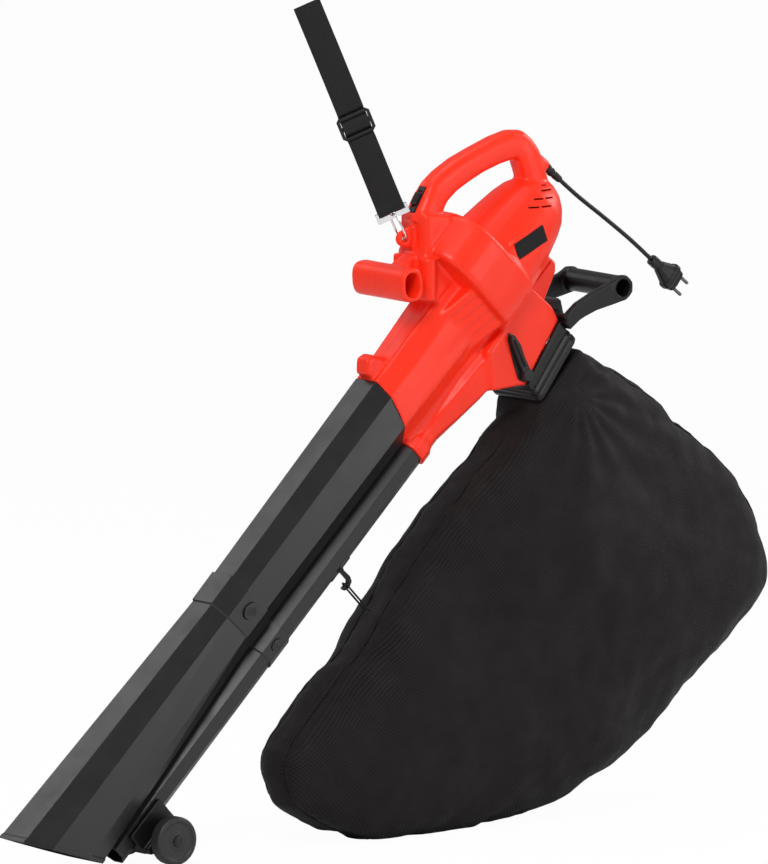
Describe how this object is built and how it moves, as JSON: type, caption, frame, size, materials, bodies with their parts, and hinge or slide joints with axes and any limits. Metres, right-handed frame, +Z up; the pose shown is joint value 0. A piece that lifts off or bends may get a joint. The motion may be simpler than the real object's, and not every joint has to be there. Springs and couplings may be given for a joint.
{
  "type": "electric leaf blower vacuum",
  "caption": "Corded leaf blower vacuum: red housing, black tubes with wheels, fabric bag, carrying strap, impeller, mode lever.",
  "frame": {"origin": "centre of the top handle's grip, in the middle plane, where the operator's hand holds the machine", "axes": "+Z up in the working pose, +Y across the machine towards its right side, +X level and backwards, away from the nozzle"},
  "size_m": [1.2634, 0.224, 1.1478],
  "materials": {
    "red_plastic": "satin",
    "black_plastic": "satin",
    "dark_plastic": "satin",
    "grey_plastic": "satin",
    "woven_fabric": "matt",
    "steel": "satin",
    "aluminium": "satin",
    "copper": "satin",
    "soft_rubber": "matt"
  },
  "bodies": {
    "machine": {"axle_cap_left": "dark_plastic", "axle_cap_right": "dark_plastic", "bag": "woven_fabric", "bag_frame": "black_plastic", "bag_hook": "black_plastic", "bag_hook_cord": "woven_fabric", "brush_yoke": "steel", "carbon_brush_left": "dark_plastic", "carbon_brush_right": "dark_plastic", "cord_strain_relief": "soft_rubber", "fan_backplate": "black_plastic", "field_coils": "copper", "front_bearing": "steel", "housing_left_shell": "red_plastic", "housing_right_shell": "red_plastic", "housing_screw_duct": "steel", "housing_screw_grip": "steel", "housing_screw_handle": "steel", "housing_screw_rear": "steel", "inlet_ring": "black_plastic", "label_plate": "dark_plastic", "lever_plate": "dark_plastic", "lower_blow_tube": "black_plastic", "outlet_frame": "black_plastic", "plug_body": "soft_rubber", "plug_pins": "steel", "power_cord": "soft_rubber", "rear_bearing": "steel", "rear_bearing_bracket": "grey_plastic", "rear_handle": "black_plastic", "shoulder_strap": "woven_fabric", "snap_hook": "steel", "stator_core": "steel", "strap_loop": "steel", "strap_slider": "black_plastic", "suction_nozzle": "black_plastic", "switch_bezel": "dark_plastic", "switch_body": "grey_plastic", "upper_blow_tube": "black_plastic", "upper_suction_tube": "black_plastic", "wheel_axle": "steel", "wheel_bracket": "black_plastic"},
    "rotor": {"impeller": "aluminium", "impeller_nut": "steel", "motor_shaft": "steel", "motor_cooling_fan": "black_plastic", "armature_core": "steel", "armature_windings": "copper", "commutator": "copper"},
    "wheel_left": {"wheel_left": "black_plastic"},
    "wheel_right": {"wheel_right": "black_plastic"},
    "diverter": {"diverter_flap": "grey_plastic", "mode_lever": "dark_plastic"},
    "switch": {"switch_slider": "dark_plastic"},
    "suction_latch_left": {"suction_latch_left": "dark_plastic"},
    "suction_latch_right": {"suction_latch_right": "dark_plastic"},
    "blow_latch_left": {"blow_latch_left": "dark_plastic"},
    "blow_latch_right": {"blow_latch_right": "dark_plastic"},
    "bag_catch": {"bag_catch": "grey_plastic"},
    "snap_hook_gate": {"snap_hook_gate": "steel"}
  },
  "joints": [
    {"name": "impeller_spin", "type": "hinge", "parent": "machine", "child": "rotor", "pos_m": [-0.01392, 0, -0.18159], "axis": [0.7145, 0, 0.6997], "continuous": true},
    {"name": "wheel_left_spin", "type": "hinge", "parent": "machine", "child": "wheel_left", "pos_m": [-0.55499, 0, -0.86681], "axis": [0, 1, 0], "continuous": true},
    {"name": "wheel_right_spin", "type": "hinge", "parent": "machine", "child": "wheel_right", "pos_m": [-0.55499, 0, -0.86681], "axis": [0, 1, 0], "continuous": true},
    {"name": "mode_lever_turn", "type": "hinge", "parent": "machine", "child": "diverter", "pos_m": [0.04859, 0, -0.28973], "axis": [0, 1, 0], "range_deg": [0, 66]},
    {"name": "switch_slide", "type": "slide", "parent": "machine", "child": "switch", "axis": [0.5314, 0, 0.8471], "range_m": [-0.006, 0.006]},
    {"name": "suction_latch_left_press", "type": "slide", "parent": "machine", "child": "suction_latch_left", "axis": [0, 1, 0], "range_m": [0, 0.003], "stiffness_N_per_m": 300, "springref_m": -0.005},
    {"name": "suction_latch_right_press", "type": "slide", "parent": "machine", "child": "suction_latch_right", "axis": [0, -1, 0], "range_m": [0, 0.003], "stiffness_N_per_m": 300, "springref_m": -0.005},
    {"name": "blow_latch_left_press", "type": "slide", "parent": "machine", "child": "blow_latch_left", "axis": [0, 1, 0], "range_m": [0, 0.003], "stiffness_N_per_m": 300, "springref_m": -0.005},
    {"name": "blow_latch_right_press", "type": "slide", "parent": "machine", "child": "blow_latch_right", "axis": [0, -1, 0], "range_m": [0, 0.003], "stiffness_N_per_m": 300, "springref_m": -0.005},
    {"name": "bag_catch_turn", "type": "hinge", "parent": "machine", "child": "bag_catch", "pos_m": [0.12713, 0, -0.21701], "axis": [0, 1, 0], "range_deg": [-9, 0], "stiffness_Nm_per_rad": 0.1, "springref_deg": 20.05},
    {"name": "hook_gate_turn", "type": "hinge", "parent": "machine", "child": "snap_hook_gate", "pos_m": [-0.12886, 0.009, -0.0827], "axis": [0.8902, 0, 0.4555], "range_deg": [0, 18], "stiffness_Nm_per_rad": 0.02, "springref_deg": -20.05}
  ]
}
